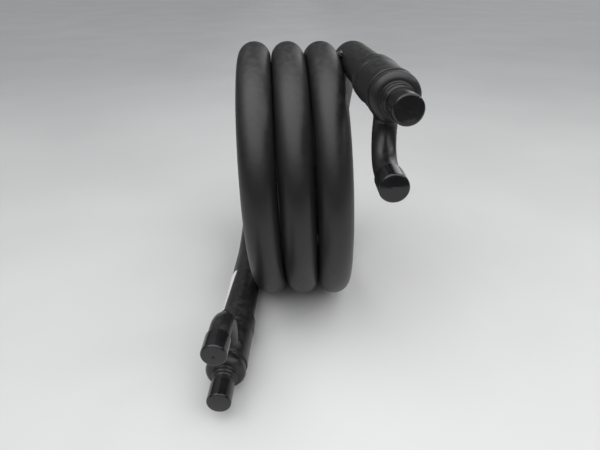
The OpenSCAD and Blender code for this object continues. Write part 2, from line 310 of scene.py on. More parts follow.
class Net:
    def __init__(self, nt):
        self.nt = nt

    def node(self, kind, **sets):
        n = self.nt.nodes.new(kind)
        for k, v in sets.items():
            setattr(n, k, v)
        return n

    def link(self, a, b):
        self.nt.links.new(a, b)

    def coord(self, which="Object"):
        return self.node("ShaderNodeTexCoord").outputs[which]

    def run_uv(self):
        n = self.node("ShaderNodeUVMap")
        n.uv_map = "run"
        return n.outputs["UV"]

    def scaled(self, src, xyz):
        n = self.node("ShaderNodeMapping")
        n.inputs["Scale"].default_value = xyz
        self.link(src, n.inputs["Vector"])
        return n.outputs["Vector"]

    def noise(self, src, scale, detail=3.0, rough=0.5, distort=0.0):
        n = self.node("ShaderNodeTexNoise")
        n.inputs["Scale"].default_value = scale
        n.inputs["Detail"].default_value = detail
        n.inputs["Roughness"].default_value = rough
        n.inputs["Distortion"].default_value = distort
        self.link(src, n.inputs["Vector"])
        return n.outputs["Fac"]

    def voronoi(self, src, scale, feature="F1"):
        n = self.node("ShaderNodeTexVoronoi", feature=feature)
        n.inputs["Scale"].default_value = scale
        self.link(src, n.inputs["Vector"])
        return n.outputs["Distance"]

    def ramp(self, src, a, b, lo=0.0, hi=1.0, smooth=True):
        n = self.node("ShaderNodeMapRange", interpolation_type="SMOOTHSTEP" if smooth else "LINEAR")
        n.inputs["From Min"].default_value = a
        n.inputs["From Max"].default_value = b
        n.inputs["To Min"].default_value = lo
        n.inputs["To Max"].default_value = hi
        self.link(src, n.inputs["Value"])
        return n.outputs["Result"]

    def math(self, op, a, b=None, clamp=False):
        n = self.node("ShaderNodeMath", operation=op, use_clamp=clamp)
        for i, x in enumerate((a, b)):
            if x is None:
                continue
            if isinstance(x, (int, float)):
                n.inputs[i].default_value = x
            else:
                self.link(x, n.inputs[i])
        return n.outputs[0]

    def mix(self, fac, a, b):
        n = self.node("ShaderNodeMix", data_type="RGBA")
        for key, x in (("Factor", fac), ("A", a), ("B", b)):
            sock = [s for s in n.inputs if s.name == key and (s.type == ("VALUE" if key == "Factor" else "RGBA"))][0]
            if isinstance(x, (int, float)):
                sock.default_value = x
            elif isinstance(x, tuple):
                sock.default_value = (*x, 1.0)
            else:
                self.link(x, sock)
        return [s for s in n.outputs if s.type == "RGBA"][0]

    def up(self):
        """How far the surface faces up, 0..1."""
        g = self.node("ShaderNodeNewGeometry")
        s = self.node("ShaderNodeSeparateXYZ")
        self.link(g.outputs["Normal"], s.inputs[0])
        return s.outputs["Z"]

    def bump(self, height, strength, distance, normal=None):
        n = self.node("ShaderNodeBump")
        n.inputs["Strength"].default_value = strength
        n.inputs["Distance"].default_value = distance
        self.link(height, n.inputs["Height"])
        if normal is not None:
            self.link(normal, n.inputs["Normal"])
        return n.outputs["Normal"]


def enamel(name, base, grey, rough, peel=0.10, dust=0.5, streak=True, lumps=0.0, spec=0.5):
    """Sprayed satin enamel: cloudy tone, orange peel, fine wiping streaks, dust on what faces up."""
    m, nt, b = new_mat(name)
    g = Net(nt)
    obj = g.coord()
    cloud = g.noise(obj, 14.0, 4.0, 0.55, 0.3)
    fine = g.noise(obj, 160.0, 4.0, 0.6)
    tone = g.mix(g.ramp(cloud, 0.32, 0.70), base, grey)
    # dust and handling haze
    face_up = g.ramp(g.up(), 0.15, 0.95)
    spots = g.math("MULTIPLY", g.ramp(fine, 0.42, 0.68), face_up)
    haze = g.math("MULTIPLY", g.math("MULTIPLY", spots, dust), 0.30)
    tone = g.mix(haze, tone, (0.17, 0.165, 0.155))
    specks = g.ramp(g.voronoi(obj, 420.0), 0.055, 0.02)
    rare = g.math("MULTIPLY", specks, g.ramp(g.noise(obj, 48.0, 2.0), 0.60, 0.70))
    tone = g.mix(g.math("MULTIPLY", rare, 0.55), tone, (0.26, 0.25, 0.235))
    r = g.ramp(cloud, 0.25, 0.75, rough - 0.020, rough + 0.025)
    r = g.math("ADD", r, g.ramp(fine, 0.3, 0.7, -0.02, 0.03))
    r = g.math("ADD", r, g.math("MULTIPLY", haze, 0.8))
    if streak:
        run = g.scaled(g.run_uv(), (6.0, 420.0, 1.0))
        lines = g.noise(run, 1.0, 3.0, 0.6)
        tone = g.mix(g.ramp(lines, 0.64, 0.82, 0.0, 0.10), tone, (0.045, 0.045, 0.045))
        r = g.math("ADD", r, g.ramp(lines, 0.35, 0.75, -0.006, 0.010))
    nt.links.new(tone, b.inputs["Base Color"])
    nt.links.new(r, b.inputs["Roughness"])
    b.inputs["Specular IOR Level"].default_value = spec
    n1 = g.bump(g.noise(obj, 620.0, 2.0, 0.5), peel, 0.0004)
    n2 = g.bump(g.noise(obj, 70.0, 3.0, 0.5), 0.10 + lumps, 0.0012, n1)
    nt.links.new(n2, b.inputs["Normal"])
    return m


def vinyl(name):
    """Dipped glossy vinyl: nearly black, glossy, with faint scuffs and soft waviness."""
    m, nt, b = new_mat(name)
    g = Net(nt)
    obj = g.coord()
    cloud = g.noise(obj, 40.0, 3.0)
    scuff = g.ramp(g.noise(g.scaled(obj, (1.0, 3.2, 1.0)), 260.0, 5.0, 0.65), 0.58, 0.76)
    tone = g.mix(g.ramp(cloud, 0.3, 0.7), (0.0075, 0.0075, 0.0085), (0.013, 0.013, 0.014))
    tone = g.mix(g.math("MULTIPLY", scuff, 0.30), tone, (0.055, 0.055, 0.055))
    r = g.math("ADD", g.ramp(cloud, 0.3, 0.7, 0.10, 0.16), g.math("MULTIPLY", scuff, 0.14))
    nt.links.new(tone, b.inputs["Base Color"])
    nt.links.new(r, b.inputs["Roughness"])
    b.inputs["Specular IOR Level"].default_value = 0.44
    b.inputs["Coat Weight"].default_value = 0.10
    b.inputs["Coat Roughness"].default_value = 0.08
    n1 = g.bump(g.noise(obj, 150.0, 3.0), 0.10, 0.0008)
    n2 = g.bump(g.noise(obj, 900.0, 2.0), 0.03, 0.0002, n1)
    nt.links.new(n2, b.inputs["Normal"])
    return m


def bare_metal(name, a, bcol, rough, lumps=0.3, scale=180.0, metal=1.0):
    m, nt, b = new_mat(name)
    g = Net(nt)
    obj = g.coord()
    cloud = g.noise(obj, 55.0, 4.0, 0.6, 0.5)
    tone = g.mix(g.ramp(cloud, 0.35, 0.65), a, bcol)
    nt.links.new(tone, b.inputs["Base Color"])
    nt.links.new(g.ramp(cloud, 0.3, 0.7, rough - 0.08, rough + 0.10), b.inputs["Roughness"])
    b.inputs["Metallic"].default_value = metal
    n1 = g.bump(g.noise(obj, scale, 4.0, 0.6), lumps, 0.0006)
    nt.links.new(n1, b.inputs["Normal"])
    return m


def tack_metal(name):
    """Braze thinly covered with paint, bright where the spray missed it."""
    m, nt, b = new_mat(name)
    g = Net(nt)
    obj = g.coord()
    cloud = g.noise(obj, 210.0, 4.0, 0.6, 0.6)
    bare = g.ramp(cloud, 0.52, 0.70)
    tone = g.mix(bare, (0.026, 0.026, 0.027), (0.26, 0.25, 0.23))
    nt.links.new(tone, b.inputs["Base Color"])
    nt.links.new(g.ramp(cloud, 0.4, 0.6, 0.50, 0.34), b.inputs["Roughness"])
    nt.links.new(g.ramp(bare, 0.0, 1.0, 0.0, 0.6), b.inputs["Metallic"])
    nt.links.new(g.bump(g.noise(obj, 330.0, 4.0, 0.6), 0.45, 0.0007), b.inputs["Normal"])
    return m


def label_stock(name):
    """Matt white film with a faint fibre, grubby in patches."""
    m, nt, b = new_mat(name)
    g = Net(nt)
    obj = g.coord()
    fibre = g.noise(g.scaled(obj, (1.0, 0.4, 1.0)), 900.0, 5.0, 0.7)
    grime = g.ramp(g.noise(obj, 70.0, 4.0, 0.6, 0.4), 0.50, 0.78)
    tone = g.mix(g.ramp(fibre, 0.3, 0.7), (0.80, 0.80, 0.78), (0.88, 0.88, 0.865))
    tone = g.mix(g.math("MULTIPLY", grime, 0.35), tone, (0.50, 0.49, 0.46))
    nt.links.new(tone, b.inputs["Base Color"])
    nt.links.new(g.ramp(grime, 0.0, 1.0, 0.42, 0.62), b.inputs["Roughness"])
    n1 = g.bump(fibre, 0.12, 0.0002)
    n2 = g.bump(g.noise(obj, 60.0, 2.0), 0.20, 0.0008, n1)
    nt.links.new(n2, b.inputs["Normal"])
    return m


M_TUBE = enamel("satin_black_tube", (0.0100, 0.0100, 0.0102), (0.0125, 0.0125, 0.0127), 0.40, peel=0.05, dust=0.35)
M_HEAD = enamel("satin_black_header", (0.0090, 0.0090, 0.0093), (0.0135, 0.0135, 0.0138), 0.35, peel=0.07, dust=0.35, lumps=0.05)
M_STUB = enamel("satin_black_branch", (0.0088, 0.0088, 0.0092), (0.0130, 0.0130, 0.0134), 0.34, peel=0.07, dust=0.25, lumps=0.04)
M_BEAD = enamel("black_over_braze", (0.0092, 0.0092, 0.0096), (0.0140, 0.0140, 0.0144), 0.36, peel=0.14, dust=0.25, streak=False, lumps=0.22)
M_VINYL = vinyl("gloss_black_vinyl")
M_TACK = tack_metal("tack_braze_metal")
M_COPPER = bare_metal("drawn_copper", (0.70, 0.33, 0.20), (0.55, 0.24, 0.14), 0.32, lumps=0.12)
M_FILLER = bare_metal("silver_braze", (0.66, 0.60, 0.46), (0.48, 0.42, 0.31), 0.30, lumps=0.35)
M_LABEL = label_stock("label_film_white")

BODY = "exchanger"


# ---------------------------------------------------------------- outer tube
def path_of_coil(step_deg=2.5):
    """Rows along the outer tube from the lower end's weld to the upper end's: centre, the direction
    away from the winding's middle, the reach (0 in the winding) and the stretch (1 lower end, -1 winding, 0 upper end)."""
    def straight(e):
        # reach from 0 to the tube's end inside the header's socket
        stop = weld_at(e) + SOCK_IN - 0.3
        marks = np.linspace(0.0, stop, int(stop / 4.0) + 2)
        line = np.stack([np.zeros_like(marks), np.zeros_like(marks), marks], -1)
        p = at_end(e, line)
        # the winding reaches this end a little steeper than the end's own line
        lead = PITCH / (2 * math.pi * COIL_R)
        gap = -BEND_X + (lead - math.tan(SPLAY)) * marks
        fade = 1 - smoothstep(marks, 0.0, 60.0)
        p[:, 0] += (gap * fade) * (-1 if e else 1)
        return marks, p

    m1, p1 = straight(1)
    m0, p0 = straight(0)
    th = np.radians(np.arange(step_deg, 7 * 180 - step_deg / 2, step_deg))
    x = -1.75 * PITCH + PITCH * th / (2 * math.pi)
    h = np.stack([x, COIL_R * np.sin(th), -COIL_R * np.cos(th)], -1)
    centre = np.vstack([p1[::-1], h, p0])
    out = np.vstack([np.tile([0.0, 0.0, -1.0], (len(p1), 1)),
                     np.stack([np.zeros_like(th), np.sin(th), -np.cos(th)], -1),
                     np.tile([0.0, 0.0, 1.0], (len(p0), 1))])
    reach = np.concatenate([m1[::-1], np.zeros(len(th)), m0])
    side = np.concatenate([np.ones(len(m1), int), np.full(len(th), -1), np.zeros(len(m0), int)])
    return centre, out, reach, side


def sweep(centre, out, radius, seg, squash=None, shape=None):
    t = np.gradient(centre, axis=0)
    t /= np.linalg.norm(t, axis=1)[:, None]
    e1 = out - (out * t).sum(1)[:, None] * t
    e1 /= np.linalg.norm(e1, axis=1)[:, None]
    e2 = np.cross(t, e1)
    f = np.arange(seg) / seg * 2 * math.pi
    r = np.repeat(np.asarray(radius, float)[:, None], seg, 1)
    s = np.concatenate([[0], np.cumsum(np.linalg.norm(np.diff(centre, axis=0), axis=1))])
    if shape is not None:
        r = shape(r, s[:, None], f[None, :])
    a = r * np.cos(f)[None, :]
    if squash is not None:
        a = a * np.asarray(squash)[:, None]
    b = r * np.sin(f)[None, :]
    rows = centre[:, None, :] + a[..., None] * e1[:, None, :] + b[..., None] * e2[:, None, :]
    uv = np.stack([np.repeat(s[:, None], seg, 1), np.repeat(f[None, :], len(s), 0) * TUBE_R], -1) * 0.001
    return rows, uv


centre, outward, reach, side = path_of_coil()
outer_r = np.full(len(reach), TUBE_R)
inner_r = np.full(len(reach), BORE_R)
in_coil = (side < 0).astype(float)
oval = 1 - 0.005 * in_coil


def wavy(r, s, f):
    w = (np.sin(s * 0.071 + 0.4) * np.cos(2 * f + 0.8) + 0.6 * np.sin(s * 0.0313 + 2 * f + 1.9)
         + 0.5 * np.sin(s * 0.117 + f * 3 + 0.6))
    return r - 0.055 + 0.025 * w


rows_o, uv_o = sweep(centre, outward, outer_r, 112, oval, wavy)
rows_i, uv_i = sweep(centre, outward, inner_r, 112, oval)
# thin out the bore's rings and run them back, then close the wall
keep = np.unique(np.concatenate([[0], np.arange(0, len(centre), 4), [len(centre) - 1]]))
rows_i, uv_i = rows_i[keep][::-1], uv_i[keep][::-1]
coil_rows = np.concatenate([rows_o, rows_i])
coil_uv = np.concatenate([uv_o, uv_i])
build("outer_coil", place(coil_rows), loop=True, mat=M_TUBE, body=BODY, replaces=["outer_coil_tube"],
      uv=coil_uv)

for n in ("inner_water_tube",):
    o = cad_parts[n]
    o.data.materials.clear()
    o.data.materials.append(M_COPPER)


# ---------------------------------------------------------------- tacks
def blob(name_seed, c, axis, across, along, high, deep, normal):
    """An uneven braze blob lying in the crevice between two turns. axis: along the crevice."""
    axis = np.array(axis, float) / np.linalg.norm(axis)
    normal = np.array(normal, float) / np.linalg.norm(normal)
    wide = np.cross(axis, normal)
    nu, nv = 28, 20
    th = (np.arange(nv) + 0.5) / nv * math.pi
    ph = np.arange(nu) / nu * 2 * math.pi
    T, P = np.meshgrid(th, ph, indexing="ij")
    x = np.sin(T) * np.cos(P)
    y = np.sin(T) * np.sin(P)
    z = np.cos(T)
    k = 1 + 0.16 * np.sin(3 * P + name_seed) * np.sin(T) + 0.12 * np.sin(5 * T + 2 * P + name_seed * 2)
    h = np.where(x > 0, high, deep)
    pts = (c + (z * along * k)[..., None] * axis + (y * across * k)[..., None] * wide
           + (x * h * k)[..., None] * normal)
    return pts


def add_blobs(name, blobs, mat, body, replaces):
    verts, faces = [], []
    for rows in blobs:
        base = len(verts)
        n, m = rows.shape[:2]
        pts = roughen(place(rows), 0.00045, 420.0, seed=base * 0.01)
        verts += pts.reshape(-1, 3).tolist()
        fs = [tuple(int(i) + base for i in f) for f in grid_faces(n, m)]
        a = len(verts)
        verts += [pts[0].mean(0).tolist(), pts[-1].mean(0).tolist()]
        for j in range(m):
            fs.append((base + j, a, base + (j + 1) % m))
            last = base + (n - 1) * m
            fs.append((last + j, last + (j + 1) % m, a + 1))
        v = np.array(verts)
        if signed_volume(v, fs) < 0:
            fs = [tuple(reversed(f)) for f in fs]
        faces += fs
    me = bpy.data.meshes.new(name)
    me.from_pydata(verts, [], faces)
    me.shade_smooth()
    me.materials.append(mat)
    o = bpy.data.objects.new(name, me)
    bpy.context.scene.collection.objects.link(o)
    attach(o, body)
    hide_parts(*replaces)
    return o


FIRST_X = -1.25 * PITCH
blobs = [blob(0.7, np.array([1.25 * PITCH, -20.0, COIL_R + TUBE_R * 0.42]), (0, 1, 0), 4.6, 5.6, 3.6, 3.6, (0, 0, 1))]
for k in range(3):
    blobs.append(blob(1.9 + k * 1.3, np.array([FIRST_X + (k + 0.25) * PITCH, RING_R + TUBE_R * 0.60, 0.0]),
                      (0, 0, 1), 4.8, 7.4, 4.2, 4.4, (0, 1, 0)))
add_blobs("tack_blobs", blobs, M_TACK, BODY, ["turn_tacks"])


# ---------------------------------------------------------------- label
def label():
    nz, nf = 70, 30
    z = LABEL_START + LABEL_LEN * np.arange(nz) / (nz - 1)
    f = np.radians(-LABEL_TURN + LABEL_WRAP * np.arange(nf) / (nf - 1))
    Z, F = np.meshgrid(z, f, indexing="ij")
    # slight lift at the corners, and the strip is stuck on a little askew
    cz = np.minimum(Z - LABEL_START, LABEL_START + LABEL_LEN - Z) / 6.0
    cf = np.minimum(F - f[0], f[-1] - F) * TUBE_R / 4.0
    lift = 0.04 * (np.exp(-(cz ** 2 + cf ** 2)))
    F = F + math.radians(19.0) * ((Z - LABEL_START) / LABEL_LEN - 0.5)
    base = TUBE_R - 0.0
    top = base + LABEL_T - 0.05 + lift
    bot = base + 0.01 + lift * 0.9
    def pts(r): return place(at_end(1, np.stack([r * np.cos(F), r * np.sin(F), Z], -1)))
    up, dn = pts(top), pts(bot)
    v = np.vstack([up.reshape(-1, 3), dn.reshape(-1, 3)])
    idx = np.arange(nz * nf).reshape(nz, nf)
    q = np.stack([idx[:-1, :-1], idx[:-1, 1:], idx[1:, 1:], idx[1:, :-1]], -1).reshape(-1, 4)
    faces = [tuple(t) for t in q] + [tuple(t[::-1] + nz * nf) for t in q]
    ring = list(idx[0, :]) + list(idx[1:, -1]) + list(idx[-1, -2::-1]) + list(idx[-2:0:-1, 0])
    for a, b in zip(ring, ring[1:] + ring[:1]):
        faces.append((b, a, a + nz * nf, b + nz * nf))
    faces = [tuple(int(i) for i in t) for t in faces]
    if signed_volume(v, faces) < 0:
        faces = [t[::-1] for t in faces]
    me = bpy.data.meshes.new("label_film_piece")
    me.from_pydata(v.tolist(), [], faces)
    me.shade_smooth()
    me.set_sharp_from_angle(angle=math.radians(40))
    me.materials.append(M_LABEL)
    o = bpy.data.objects.new("label_film_piece", me)
    bpy.context.scene.collection.objects.link(o)
    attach(o, BODY)
    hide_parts("blank_label")


label()


# ---------------------------------------------------------------- headers and what they carry
def arc(cx, cz, r, a0, a1, n):
    a = np.radians(np.linspace(a0, a1, n))
    return np.stack([cx + r * np.cos(a), cz + r * np.sin(a)], -1)


def ring_piece(name, profile, seg, put, mat, node, body=BODY, shape=None, sharp=38.0):
    rows, uv = spin(profile, seg, put, shape)
    return build(name, rows, loop=True, mat=mat, body=body, replaces=[node], uv=uv, sharp=sharp)


def closed_profile(points, radii, steps=4, longest=5.0, hold=0.45):
    p = rounded(points, radii, steps=steps, closed=True, hold=hold)
    p = subdivide(np.vstack([p, p[:1]]), longest)[:-1]
    return p


def apply_boolean(o, cutter):
    md = o.modifiers.new("cut", "BOOLEAN")
    md.object = cutter
    md.operation = "DIFFERENCE"
    md.solver = "EXACT"
    bpy.context.view_layer.update()
    dg = bpy.context.evaluated_depsgraph_get()
    me = bpy.data.meshes.new_from_object(o.evaluated_get(dg))
    o.modifiers.clear()
    old = o.data
    o.data = me
    bpy.data.meshes.remove(old)
    bpy.data.objects.remove(cutter)
    me.shade_smooth()
    me.set_sharp_from_angle(angle=math.radians(30))


for e in (0, 1):
    nm = NAMES[e]
    put = lambda p, e=e: place(at_end(e, p))
    putb = lambda p, e=e: place(at_branch(e, p))
    seed = 1.0 + e * 2.7

    # fillet weld round the tube at the socket's mouth, with uneven ripples
    w = weld_at(e)
    root_r = TUBE_R - 0.08
    t = np.linspace(0, 1, 10)
    slope = np.stack([root_r + 0.05 + (WELD_W - 0.2) * t - 0.22 * np.sin(math.pi * t), w - WELD_W + 0.05 + (WELD_W - 0.1) * t], -1)
    prof = np.vstack([[[root_r, w], [root_r, w - WELD_W + 0.02]], slope, [[root_r + WELD_W - 0.15, w]]])

    def weld_shape(r, z, f, w=w, seed=seed, root_r=root_r):
        out = (r > root_r + 0.02) & (z < w - 0.01)
        k = 0.10 * ripple(f, 46, seed) + 0.12 * ripple(f, 7, seed + 1)
        return np.where(out, np.maximum(r + k * 0.6 + 0.1, root_r + 0.01), r), np.where(out, np.minimum(z + k * 0.8 - 0.1, w - 0.005), z)
    ring_piece(f"{nm}_girth_bead", prof, 240, put, M_BEAD, f"{nm}_header_weld", shape=weld_shape, sharp=60)

    # header pipe with its socket and the hole for its branch
    z0, z1 = w, header_at(e)
    prof = closed_profile([[SOCK_R, z0], [SOCK_R, z0 + SOCK_LEN - 3], [HEADER_R, z0 + SOCK_LEN], [HEADER_R, z1],
                           [HEADER_BORE_R, z1], [HEADER_BORE_R, z0 + SOCK_IN], [TUBE_R, z0 + SOCK_IN], [TUBE_R, z0]],
                          [2.2, 10.0, 10.0, 1.7, 0.25, 0.0, 0.0, 0.15], steps=8, longest=6.0)

    def pipe_shape(r, z, f, z1=z1, seed=seed):
        end = smoothstep(z, z1 - 7, z1 - 1.5)
        lip = 0.35 * end * np.clip((r - HEADER_BORE_R) / HEADER_WALL, 0, 1)
        return np.where(r > HEADER_BORE_R + 0.3, r - 0.05 + 0.03 * np.sin(3 * f + seed) * (1 - end) + lip, r), z
    h = ring_piece(f"{nm}_header_pipe", prof, 144, put, M_HEAD, f"{nm}_header", shape=pipe_shape)
    cyl = np.array([[0.0, -5.0], [BRANCH_R - 0.02, -5.0], [BRANCH_R - 0.02, -35.0], [0.0, -35.0]])
    phi = np.arange(64) / 64 * 2 * math.pi
    ringpts = []
    for yy in (-5.0, -35.0):
        ringpts.append(np.stack([(BRANCH_R - 0.02) * np.cos(phi), np.full(64, yy),
                                 riser_at(e) + (BRANCH_R - 0.02) * np.sin(phi)], -1))
    cut = build(f"cutter_{nm}", putb(np.array(ringpts)), fan=(True, True))
    apply_boolean(h, cut)

    # braze in the gap: a shallow uneven meniscus
    g0, g1 = header_at(e), bell_at(e)
    prof = np.array([[HEADER_BORE_R, g0], [HEADER_R - 1.25, g0 - 0.02], [HEADER_R - 1.42, g0 + 0.25],
                     [HEADER_R - 1.70, g0 + 0.65], [HEADER_R - 1.82, g0 + 1.05], [HEADER_R - 1.84, g0 + 1.45],
                     [HEADER_R - 1.75, g1 + 0.02], [HEADER_BORE_R, g1]])

    def gap_shape(r, z, f, seed=seed):
        return np.where(r > HEADER_BORE_R + 0.1, r + 0.07 * ripple(f, 13, seed), r), z
    ring_piece(f"{nm}_gap_braze", prof, 200, put, M_BEAD, f"{nm}_bell_braze", shape=gap_shape, sharp=60)

    # end bell: straight rim, rounded shoulder, collar
    b, ns, cl = bell_at(e), nose_at(e), collar_at(e)
    shoulder = arc(BELL_R - BELL_ROUND, b + BELL_RIM, BELL_ROUND, 0, 90, 15)
    outer = [[HEADER_BORE_R - 0.02, b - 2.4], [HEADER_BORE_R - 0.02, b]]
    prof = np.vstack([
        [[HEADER_BORE_R - 0.03, b - 2.5], [HEADER_BORE_R - 0.03, b - 0.3], [HEADER_BORE_R - 0.03, b]],
        [[BELL_R - 1.8, b], [BELL_R - 1.3, b + 0.12], [BELL_R - 1.02, b + 0.45], [BELL_R - 0.90, b + 1.1],
         [BELL_R - 0.68, b + 2.2], [BELL_R - 0.40, b + 3.5], [BELL_R - 0.14, b + 4.8], [BELL_R - 0.01, b + 5.8]],
        shoulder,
        arc(COLLAR_R + 1.0, ns + 1.0, 1.0, 270, 180, 6)[1:],
        [[COLLAR_R, ns + 1.5], [COLLAR_R, ns + 2.8], [COLLAR_R, cl - 2.6]],
        arc(COLLAR_R - 2.2, cl - 2.2, 2.2, 0, 90, 9),
        [[SOCKET_R + 0.4, cl], [SOCKET_R, cl - 0.1], [SOCKET_R, ns - 1.0], [SOCKET_R, b + BELL_RIM + BELL_ROUND - 3.0],
         [13.5, b + BELL_RIM + BELL_ROUND - 3.0], [13.5, b + 6.2], [16.5, b + 6.2], [16.5, b - 2.5]]])

    def bell_shape(r, z, f, b=b, seed=seed):
        soft = smoothstep(z, b + 4, b + 16) * (r > 12)
        return r * (1 + 0.0016 * soft * np.sin(3 * f + seed)), z
    ring_piece(f"{nm}_bell", prof, 144, put, M_HEAD, f"{nm}_end_bell", shape=bell_shape)

    # braze round the stub
    prof = np.vstack([[[SOCKET_R - 0.02, cl - 0.05], [SOCKET_R + 2.3, cl - 0.05]],
                      arc(SOCKET_R + 2.35, cl + 2.25, 2.25, 262, 186, 9),
                      [[SOCKET_R - 0.02, cl + 2.3]]])

    def fillet_shape(r, z, f, cl=cl, seed=seed):
        out = (r > SOCKET_R + 0.02) & (z > cl)
        k = 0.10 * ripple(f, 7, seed) + 0.03 * ripple(f, 31, seed + 1)
        return np.where(out, r + k * 0.9, r), np.where(out, z + k * 0.8, z)
    ring_piece(f"{nm}_collar_braze", prof, 160, put, M_BEAD, f"{nm}_stub_braze", shape=fillet_shape, sharp=60)

    # solder stub with its socket
    se = stub_end(e)
    root = ns - 8
    stop_r = SOCKET_BORE_R - 1.1
    prof = closed_profile(
        [[SOCKET_R, root], [SOCKET_R, se], [SOCKET_BORE_R, se], [SOCKET_BORE_R, se - SOCKET_DEPTH],
         [stop_r, se - SOCKET_DEPTH], [stop_r, se - SOCKET_DEPTH - 4], [TAIL_R, se - SOCKET_DEPTH - 4], [TAIL_R, root]],
        [0.1, 0.35, 0.3, 0.0, 0.0, 0.0, 0.0, 0.1], longest=5.0)
    ring_piece(f"{nm}_stub", prof, 112, put, M_STUB, f"{nm}_water_stub")
    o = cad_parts[f"{nm}_socket_braze"]
    o.data.materials.clear()
    o.data.materials.append(M_FILLER)

    # branch: riser, elbow, straight run and socket, one hollow tube
    hgt, s0, be = BRANCH_H[e], riser_at(e), branch_end(e)
    top = hgt - ELBOW_R
    ry = np.linspace(-17.5, -top, max(4, int((top - 17.5) / 2.0) + 2))
    riser = np.stack([np.zeros_like(ry), ry, np.full_like(ry, s0)], -1)
    a = np.radians(np.linspace(0, 90, 37))[1:]
    elbow = np.stack([np.zeros_like(a), -top - ELBOW_R * np.sin(a), s0 + ELBOW_R - ELBOW_R * np.cos(a)], -1)
    zs = [s0 + ELBOW_R + t for t in np.arange(2.0, be - SOCKET_DEPTH - 6 - s0 - ELBOW_R, 2.0)]
    zs += list(np.arange(be - SOCKET_DEPTH - 5.0, be - SOCKET_DEPTH + 0.2, 0.5))
    zs += [be - 15, be - 11, be - 7, be - 3, be - 1.0, be - 0.35, be - 0.12, be]
    zs = sorted(z for z in set(zs) if z > s0 + ELBOW_R + 0.3)
    run = np.array([[0.0, -hgt, z] for z in zs])
    mid = np.vstack([riser, elbow, run])
    ref = np.vstack([np.tile([0.0, 0.0, -1.0], (len(riser), 1)),
                     np.stack([np.zeros_like(a), -np.sin(a), -np.cos(a)], -1),
                     np.tile([0.0, -1.0, 0.0], (len(run), 1))])
    z = mid[:, 2]
    deep = -mid[:, 1]
    rad = np.full(len(mid), BRANCH_R)
    rad -= 0.05 * (1 - smoothstep(deep, 19.0, 30.0))
    flare = smoothstep(z, be - SOCKET_DEPTH - 4.5, be - SOCKET_DEPTH - 0.5) * (deep > hgt - 0.5)
    rad += (SOCKET_R - BRANCH_R) * flare
    rad -= 0.35 * smoothstep(z, be - 0.35, be) * (deep > hgt - 0.5)
    bend_k = np.concatenate([np.zeros(len(riser)), np.sin(a * 2), np.zeros(len(run))])
    rows_out, uvb = sweep(mid, ref, rad, 72, 1 - 0.018 * bend_k)
    # bore: back from the socket mouth
    zi = [be, be - 0.3, be - 1.0, be - 6, be - 12, be - SOCKET_DEPTH, be - SOCKET_DEPTH - 0.01]
    ri = [SOCKET_BORE_R + 0.3, SOCKET_BORE_R, SOCKET_BORE_R, SOCKET_BORE_R, SOCKET_BORE_R, SOCKET_BORE_R, BRANCH_R - BRANCH_WALL]
    rest = [zz for zz in zs if zz < be - SOCKET_DEPTH - 1.0][::-3]
    ci = np.array([[0.0, -hgt, zz] for zz in zi] + [[0.0, -hgt, zz] for zz in rest] + elbow[::-3].tolist() + riser[::-1][::2].tolist() + [riser[0].tolist()])
    keep_rows = [0]
    for i in range(1, len(ci)):
        if np.linalg.norm(ci[i] - ci[keep_rows[-1]]) > 1e-6 or i == len(ci) - 1:
            keep_rows.append(i)
    radii_in = np.array(ri + [BRANCH_R - BRANCH_WALL] * (len(ci) - len(ri)))[keep_rows]
    ci = ci[keep_rows]
    if np.linalg.norm(ci[-1] - ci[-2]) < 1e-6:
        ci, radii_in = ci[:-1], radii_in[:-1]
    refi = np.array([[0.0, -1.0, 0.0]] * len(ci))
    for i, p in enumerate(ci):
        if p[2] <= s0 + 1e-6:
            refi[i] = (0.0, 0.0, -1.0)
        elif p[2] < s0 + ELBOW_R - 1e-6:
            an = math.acos(max(-1.0, min(1.0, (s0 + ELBOW_R - p[2]) / ELBOW_R)))
            refi[i] = (0.0, -math.sin(an), -math.cos(an))
    # the bore's frames run the other way along the tube, so its rings are mirrored to match
    rows_in, uvi = sweep(ci[::-1], refi[::-1], radii_in[::-1], 72)
    rows_in, uvi = rows_in[::-1], uvi[::-1]
    build(f"{nm}_branch_pipe", putb(np.concatenate([rows_out, rows_in])), loop=True, mat=M_STUB, body=BODY,
          replaces=[f"{nm}_branch_tube"], uv=np.concatenate([uvb, uvi]))

    # saddle braze between header and riser
    nf, nk = 120, 9
    f = np.arange(nf) / nf * 2 * math.pi
    foot = 3.1 + 0.35 * ripple(f, 5, seed) + 0.12 * ripple(f, 23, seed)
    climb = 3.6 + 0.40 * ripple(f, 4, seed + 2) + 0.12 * ripple(f, 19, seed)
    rr = BRANCH_R - 0.03

